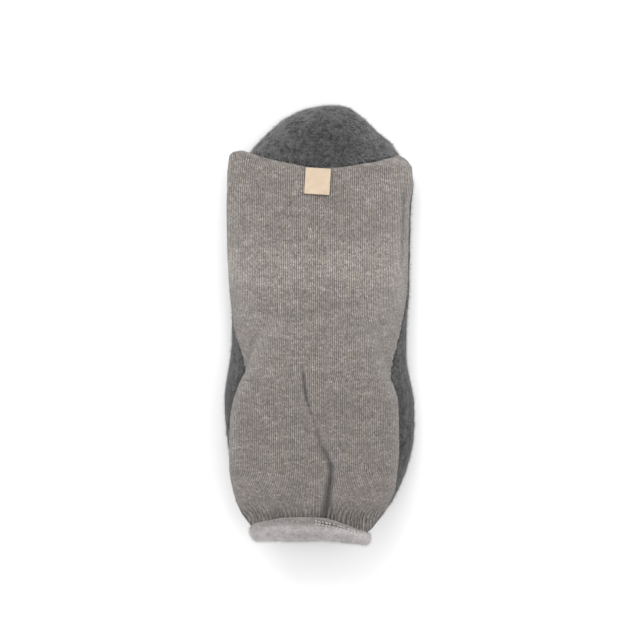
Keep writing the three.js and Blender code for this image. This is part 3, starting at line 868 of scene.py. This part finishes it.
@dataclass
class FeltFoot:
    """Sole, side wall, toe cap and insole, all in felted wool. Lengths are in millimetres."""

    axis_height: float = 22.0
    heel_tuck: float = 3.4
    peak: float = 1.3

    def build(self) -> None:
        """Builds and dresses the felt pieces."""
        # The side wall and the sole take the darker felt, which is painted shade.
        wool = SHADED_SIDE_WOOL.material()
        sole = SoftCast("sole", "felt_sole", voxel=1.4, rounds=3, swell=0.3, lumps=0.5).make()
        self.tuck_heel(sole.data)
        dress(sole, "sole", wool)
        wall = SoftCast("side_wall", "felt_side_wall", voxel=1.2, rounds=3, swell=0.4, lumps=0.9).make()
        self.tuck_heel(wall.data)
        self.mark_outside(wall.data)
        dress(wall, "side_wall", wool)
        cap = SoftCast("toe_cap", "felt_toe_cap", voxel=0.9, rounds=4, swell=0.7, lumps=0.9).make()
        spots = spots_of(cap.data)
        peak = self.peak * np.exp(-(((spots[:, 0] - 9.0) / 15.0) ** 2))
        spots[:, 1] += eased(spots) + peak * ramp(112.0, 130.0, spots[:, 1])
        move_to(cap.data, spots)
        self.mark_outside(cap.data)
        dress(cap, "toe_cap", CAP_WOOL.material())
        insole = SoftCast("insole", "felt_insole", voxel=1.6, rounds=3, lumps=0.6).make()
        dress(insole, "insole", INSOLE_WOOL.material())
        curls = Nap(length=2.1, thickness=0.1, number=11500, lean=0.8, bend=1.7, seed=11)
        curls.grow(cap, "toe_cap_curls", WOOL_CURLS)
        curls = Nap(length=2.1, thickness=0.1, number=14500, lean=0.8, bend=1.7, seed=12)
        curls.grow(wall, "side_wall_curls", WOOL_CURLS)

    def tuck_heel(self, mesh: bpy.types.Mesh) -> None:
        """Draws the back of the heel in under the collar.

        Args:
            mesh: The felt that reaches there.
        """
        spots = spots_of(mesh)
        spots[:, 1] += self.heel_tuck * ramp(-108.0, -130.0, spots[:, 1])
        move_to(mesh, spots)

    def mark_outside(self, mesh: bpy.types.Mesh) -> None:
        """Marks the side that faces away from the foot.

        Args:
            mesh: The felt.
        """
        spots, facing = spots_of(mesh), normals_of(mesh)
        core = np.stack([spots[:, 0] * 0.3, np.clip(spots[:, 1], -90.0, 85.0)], 1)
        outward = (spots[:, :2] - core) * facing[:, :2]
        rising = (spots[:, 2] - self.axis_height) * facing[:, 2]
        mark(mesh, Nap.OUTSIDE, (outward.sum(1) + rising > 0).astype(float))


@dataclass
class KnitUpper:
    """The slack knitted upper with its shaft laid back on the heel. Lengths are in millimetres."""

    voxel: float = 1.25
    fold_height: float = 47.0
    rib_width: float = 2.1
    rib_depth: float = 0.65
    end_tuck: float = 3.5
    thin_spot: tuple[float, float, float] = (-51.0, 94.0, 18.5)

    def folds(self) -> list[Fold]:
        """Places the folds that the slack cloth has taken.

        Returns:
            The folds, each from its front end back.
        """
        crease = Fold(
            (
                (-10.4, -20, 1.0, 1.4),
                (-9.6, -27.5, 3.0, 1.5),
                (-9.0, -33.5, 3.2, 1.6),
                (-7.9, -40.7, 3.0, 1.6),
                (-5.7, -48.2, 2.2, 1.8),
                (-3.4, -54.8, 1.7, 2.2),
                (0.3, -66.2, 1.5, 3.0),
                (3.2, -72.5, 2.0, 3.0),
                (5.4, -77.5, 2.8, 2.8),
                (6.7, -82.0, 3.8, 2.5),
                (7.0, -86.0, 4.4, 2.4),
                (6.4, -91.0, 4.6, 2.4),
                (5.2, -99.0, 5.0, 2.8),
                (4.3, -107.0, 6.0, 3.5),
                (4.6, -116.0, 6.0, 3.8),
            ),
            above=self.fold_height,
            sharpness=1.5,
        )
        branch = ((7, -82, 0.8, 2.2), (14, -83, 0.9, 2.2), (19, -79, 0.2, 2.2))
        slack = ((-4, -66, 0.7, 6), (-2, -80, 0.9, 6), (2, -92, 0.5, 5))
        smaller = [Fold(line, above=self.fold_height) for line in (branch, slack)]
        return [crease, *smaller, self.side_fold()]

    def side_fold(self) -> Fold:
        """Returns the long fold down the right side of the foot."""
        front = (50.2, 90, 0.0, 1.1), (50.2, 80, 0.8, 1.2)
        return Fold((*front, (50, 62, 0.9, 1.3), (49, 42, 0.7, 1.3), (48, 28, 0, 1.2)), above=12)

    def build(self) -> None:
        """Builds and dresses the upper."""
        cast = SoftCast("upper", "knit_upper", self.voxel, swell=0.15, thin_spot=self.thin_spot)
        knit = cast.make()
        self.fill_ears(knit.data)
        self.refine(knit.data)
        spots = spots_of(knit.data)
        around = np.empty(len(spots))
        in_shaft = self.in_shaft(spots)
        around[in_shaft] = Tube(middle=-2.0, height=46.0, flatness=4.5).around(spots[in_shaft])
        around[~in_shaft] = Tube(middle=-2.0, height=14.0, flatness=1.4).around(spots[~in_shaft])
        Wales(wale=1.15, course=0.9, neck_share=0.72).lay(knit.data, around)
        sunk = sum(fold.heights(spots) for fold in self.folds())
        ribs = self.gathers(spots)
        # Painted shade: the knit's colour is darkened along the folds, between the gathers, along the side fold
        # and near the neck.
        tight = ramp(0.6, 3.2, -sunk) * 0.9 + ramp(0.0, 1.1, -ribs) * 0.9
        tight += 0.7 * ramp(0.1, 0.8, -self.side_fold().heights(spots))
        tight += 0.25 * ramp(-106.0, -115.0, spots[:, 1])
        # Painted light on the instep and on the right of the foot, and painted shade on the shaft; the light goes
        # into the painted-shade attribute below zero.
        lit_instep = np.exp(-(((spots[:, 1] - 38.0) / 15.0) ** 2)) * ramp(15.0, 30.0, spots[:, 2])
        painted_light = 0.4 * lit_instep + 0.15 * ramp(10.0, 45.0, spots[:, 0]) * ramp(0.0, 20.0, spots[:, 1])
        painted_light -= 0.1 * ramp(-10.0, -50.0, spots[:, 1])
        mark(knit.data, Jersey.PAINTED_SHADE, np.clip(tight, 0.0, 1.0) - painted_light)
        spots[:, 2] += sunk + ribs
        spots[:, 1] += self.end_tuck * ramp(-118.0, -127.0, spots[:, 1]) * in_shaft
        move_to(knit.data, spots)
        inside = self.mark_lining(knit.data)
        mark(knit.data, Nap.OUTSIDE, 1.0 - inside)
        dress(knit, "upper", JERSEY.material())
        fuzz = Nap(length=1.3, thickness=0.06, number=13000, lean=0.9, bend=1.6, seed=21)
        fuzz.grow(knit, "knit_fuzz", JERSEY_FUZZ)

    def in_shaft(self, spots: np.ndarray) -> np.ndarray:
        """Tells which spots lie on the laid shaft."""
        return (spots[:, 1] < -30.0) & (spots[:, 2] > 36.5)

    def fill_ears(self, mesh: bpy.types.Mesh) -> None:
        """Pushes the slack corners beside the toe cap out to full, rounded ears.

        Args:
            mesh: The knit.
        """
        spots = spots_of(mesh)
        left = 4.2 * ramp(-37.0, -48.0, spots[:, 0]) - 1.8 * ramp(-51.0, -56.0, spots[:, 0])
        right = 0.6 * ramp(40.0, 50.0, spots[:, 0])
        spots[:, 1] += (left + right) * ramp(84.0, 100.0, spots[:, 1])
        corner = np.exp(-((spots[:, 0] - 51.5) ** 2 + (spots[:, 1] - 100.5) ** 2) / 26.0)
        spots[:, :2] += corner[:, None] * (0.7, 1.1)
        spots[:, 1] += eased(spots)
        move_to(mesh, spots)

    def refine(self, mesh: bpy.types.Mesh) -> None:
        """Halves faces of the shaft's upper layer behind its root, for the crease and the gathered neck.

        Args:
            mesh: The knit.
        """
        form = bmesh.new()
        form.from_mesh(mesh)
        low, back = (self.fold_height - 1.0) * MM, -28 * MM

        def fine(vert: bmesh.types.BMVert) -> bool:
            """Tells whether a vertex lies where the cloth is worked finely."""
            near = abs(vert.co.x + 0.002) < 0.018 or vert.co.y < -0.086
            return near and vert.co.y < back and vert.co.z > low

        edges = [edge for edge in form.edges if all(fine(vert) for vert in edge.verts)]
        bmesh.ops.subdivide_edges(form, edges=edges, cuts=1, use_grid_fill=True)
        form.to_mesh(mesh)
        form.free()

    def gathers(self, spots: np.ndarray) -> np.ndarray:
        """Works out the small ribs that the collar's seam draws into the shaft's end.

        Args:
            spots: Places on the knit, in millimetres.

        Returns:
            Their rise.
        """
        x, y = spots[:, 0], spots[:, 1]
        strength = ramp(-100.0, -114.0, y)
        width = self.rib_width * (1.0 + 0.3 * ramp(-114.0, -96.0, y))
        uneven = 0.3 * np.sin(x / 4.3) + 0.2 * np.sin(x / 1.9 + 1.0)
        ribs = np.cos(math.tau * ((x + 4.5) / width + uneven))
        layer = np.where(spots[:, 2] > self.fold_height, 1.0, -1.0)
        return layer * strength * (self.rib_depth * ribs - 0.35)

    def mark_lining(self, mesh: bpy.types.Mesh) -> np.ndarray:
        """Marks the brushed inside of the cloth.

        Args:
            mesh: The knit.

        Returns:
            The mark, 1 on the inside.
        """
        spots, facing = spots_of(mesh), normals_of(mesh)
        in_shaft = self.in_shaft(spots)
        middle = np.where(in_shaft, -4.0, 0.0)
        height = np.where(in_shaft, 46.0, 20.0)
        outward = (spots[:, 0] - middle) * 0.25 * facing[:, 0] + (spots[:, 2] - height) * facing[:, 2]
        ends = np.where(in_shaft, 0.0, (spots[:, 1] - np.clip(spots[:, 1], -90.0, 80.0)) * facing[:, 1])
        inside = ramp(0.5, -0.5, outward + ends)
        mark(mesh, JERSEY.brushed, inside)
        return inside


@dataclass
class Collar:
    """The rolled collar at the shaft's end, with two rows of stitches along its hem. In millimetres.

    The slack is the share of its CAD node's length that it keeps. The seam is the line of its stitches, which are
    let down on the collar from the clear height.
    """

    slack: float = 0.79
    height: float = 46.0
    clear_height: float = 90.0
    stitch_length: float = 2.2
    stitch_width: float = 0.85
    stitch_lift: float = 0.2
    stitch_seed: int = 41
    row_gap: float = 1.6
    seam: tuple[tuple[float, float], ...] = (
        (-3.5, -115.0), (2.5, -115.9), (8.1, -117.0), (16.5, -119.6), (22.5, -122.0), (27.5, -125.6)
    )

    def build(self) -> None:
        """Builds and dresses the collar."""
        roll = SoftCast("cuff", "rolled_collar", voxel=0.6, rounds=5, lumps=0.9, lump_size=9.0).make()
        spots = spots_of(roll.data)
        front = spots[:, 1].max()
        spots[:, 1] = front + (spots[:, 1] - front) * self.slack
        spots[:, 1] += 2.4 - 2.2 * ramp(2.0, 26.0, spots[:, 0])
        spots[:, 2] += self.dent().heights(spots)
        move_to(roll.data, spots)
        around = Tube(middle=-5.0, height=self.height, flatness=4.0).around(spots)
        Wales(wale=0.9, course=0.85).lay(roll.data, around)
        across = spots[:, 0] / 30.0
        hem = -117.2 - 2.4 * across - 2.6 * across**2
        mark(roll.data, FLEECE.brushed, ramp(hem + 1.6, hem - 1.6, spots[:, 1]))
        groove = self.groove(spots)
        # Painted shade darkens the fleece along the sewn groove and in the dent; the colour is also darker
        # towards the top edge.
        shade = 0.5 * ramp(0.1, 0.8, -self.dent().heights(spots))
        shade += 0.25 * ramp(-119.5, -115.0, spots[:, 1])
        mark(roll.data, FLEECE.PAINTED_SHADE, groove + shade)
        facing = normals_of(roll.data)
        outward = (spots[:, 2] - self.height) * facing[:, 2] + (spots[:, 0] + 5.0) * 0.2 * facing[:, 0]
        bare = np.maximum(groove, ramp(hem - 1.0, hem + 3.0, spots[:, 1]))
        mark(roll.data, Nap.OUTSIDE, (outward > 0) * (1.0 - bare))
        dress(roll, "cuff", FLEECE.material())
        self.stitches(roll)
        fuzz = Nap(length=2.2, thickness=0.06, number=13000, lean=0.8, bend=1.4, seed=31)
        fuzz.grow(roll, "collar_fuzz", FLEECE_FUZZ)

    def dent(self) -> Fold:
        """Returns the soft dent along the top of the roll."""
        left = (-30, -123, 0.0, 2.0), (-20, -123, 0.8, 2.0)
        right = (14, -124.6, 0.7, 1.8), (26, -127.5, 0.0, 1.8)
        return Fold((*left, (0, -123.2, 1.0, 1.8), *right), above=50.0)

    def groove(self, spots: np.ndarray) -> np.ndarray:
        """Finds the sewn line.

        Args:
            spots: Places on the collar, in millimetres.

        Returns:
            For each, 1 on the line and 0 away from it.
        """
        away = np.full(len(spots), 1e9)
        for start, end in zip(self.seam, self.seam[1:]):
            away = np.minimum(away, from_line(spots, np.array(start), np.array(end))[0])
        return ramp(self.row_gap + 0.6, self.row_gap - 0.3, away) * ramp(-5.0, 5.0, spots[:, 0])

    def stitches(self, roll: bpy.types.Object) -> None:
        """Sews two rows of slanted stitches along the hem.

        Args:
            roll: The collar that they lie on.
        """
        tree = BVHTree.FromObject(roll, bpy.context.evaluated_depsgraph_get())
        line = np.array(self.seam)
        run = np.concatenate([[0.0], np.cumsum(np.linalg.norm(np.diff(line, axis=0), axis=1))])
        form = bmesh.new()
        draw = np.random.default_rng(self.stitch_seed)
        for number in range(int(run[-1] / self.stitch_length)):
            along = (number + draw.uniform(0.3, 0.7)) * self.stitch_length
            x, y = (np.interp(along, run, line[:, side]) for side in (0, 1))
            ahead = [np.interp(along + 1.0, run, line[:, side]) for side in (0, 1)]
            heading = math.atan2(ahead[1] - y, ahead[0] - x)
            for row, slant in ((-0.5, 0.55), (0.5, -0.55)):
                aside = row * self.row_gap
                spot = Vector((x - aside * math.sin(heading), y + aside, self.clear_height)) * MM
                hit = tree.ray_cast(spot, Vector((0, 0, -1)))[0]
                if hit is None:
                    continue
                hit.z += self.stitch_lift * MM
                turn = Matrix.Rotation(heading + slant * draw.uniform(0.3, 1.1), 4, "Z")
                half = self.stitch_width * draw.uniform(0.35, 0.55)
                size = Matrix.Diagonal((self.stitch_length * draw.uniform(0.38, 0.52), half, half, 1))
                at = Matrix.Translation(hit) @ turn @ size
                bmesh.ops.create_uvsphere(form, u_segments=8, v_segments=5, radius=MM, matrix=at)
        rows = in_scene("hem_stitches", form)
        mark(rows.data, Nap.SHADE, 0.5 + 0.5 * np.sin(spots_of(rows.data)[:, 0] * 2.1))
        settle(rows, STITCH_THREAD.material())


@dataclass
class SeamLabel:
    """A bare loop of tape caught in the toe seam, pressed to a share of its CAD node's thickness."""

    thinness: float = 0.6
    drop: float = 0.3

    def build(self) -> None:
        """Builds and dresses the label."""
        loop = SoftCast("label", "seam_label", voxel=0.4, rounds=2, swell=0.1).make()
        spots = spots_of(loop.data)
        slope, level = np.polyfit(spots[:, 1], spots[:, 2], 1)
        lie = level + slope * spots[:, 1]
        spots[:, 2] = lie + (spots[:, 2] - lie) * self.thinness - self.drop
        spots[:, 2] += 0.5 * np.sin((spots[:, 0] + 1.0) / 5.0)
        spots[:, 2] -= 0.25 * np.cos((spots[:, 1] - 89.0) / 3.0)
        move_to(loop.data, spots)
        dress(loop, "label", TAPE.material())


@dataclass
class Studio:
    """White floor, broad soft lights and a camera straight above. Lengths are in millimetres."""

    view_width: float = 384.0
    middle: tuple[float, float] = (0.32, 5.8)
    camera_height: float = 9000.0
    cloth_height: float = 20.0

    def build(self) -> None:
        """Builds the studio."""
        self.floor()
        self.lights()
        self.camera()

    def floor(self) -> None:
        """Lays a large sheet of paper under the shoe."""
        form = bmesh.new()
        bmesh.ops.create_grid(form, x_segments=2, y_segments=2, size=3.0)
        paper = in_scene("paper", form)
        paper.data.materials.append(Backdrop().material())

    def lights(self) -> None:
        """Hangs a soft box at the upper left, a weaker one opposite, and a bright room round them."""
        world = bpy.data.worlds.new("room")
        world.use_nodes = True
        world.node_tree.nodes["Background"].inputs["Color"].default_value = (1, 1, 1, 1)
        world.node_tree.nodes["Background"].inputs["Strength"].default_value = 1.0
        bpy.context.scene.world = world
        self.soft_box("key", (-0.35, 1.0, 1.4), 1.1, 15.0)
        self.soft_box("fill", (0.7, -0.4, 1.7), 1.1, 8.0)

    def soft_box(self, name: str, place: tuple[float, float, float], size: float, power: float) -> None:
        """Hangs a square light that faces the shoe.

        Args:
            name: The light's name.
            place: Where it hangs, in metres.
            size: Its side, in metres.
            power: Its power in watts.
        """
        light = bpy.data.lights.new(name, "AREA")
        light.size, light.energy = size, power
        lamp = bpy.data.objects.new(name, light)
        lamp.location = place
        lamp.rotation_euler = (-Vector(place)).to_track_quat("-Z", "Y").to_euler()
        bpy.context.scene.collection.objects.link(lamp)

    def camera(self) -> None:
        """Hangs the camera straight above, with the toe at the top of its view."""
        lens = bpy.data.cameras.new("camera")
        lens.lens = lens.sensor_width * (self.camera_height - self.cloth_height) / self.view_width
        lens.clip_end = 20.0
        camera = bpy.data.objects.new("camera", lens)
        camera.location = (self.middle[0] * MM, self.middle[1] * MM, self.camera_height * MM)
        bpy.context.scene.collection.objects.link(camera)
        bpy.context.scene.camera = camera
        bpy.context.scene.view_settings.view_transform = "Standard"


def main() -> None:
    """Builds the shoe and its studio."""
    logging.basicConfig(level=logging.INFO, format="%(message)s")
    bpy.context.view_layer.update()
    FeltFoot().build()
    KnitUpper().build()
    Collar().build()
    SeamLabel().build()
    Studio().build()


if __name__ == "__main__":
    main()
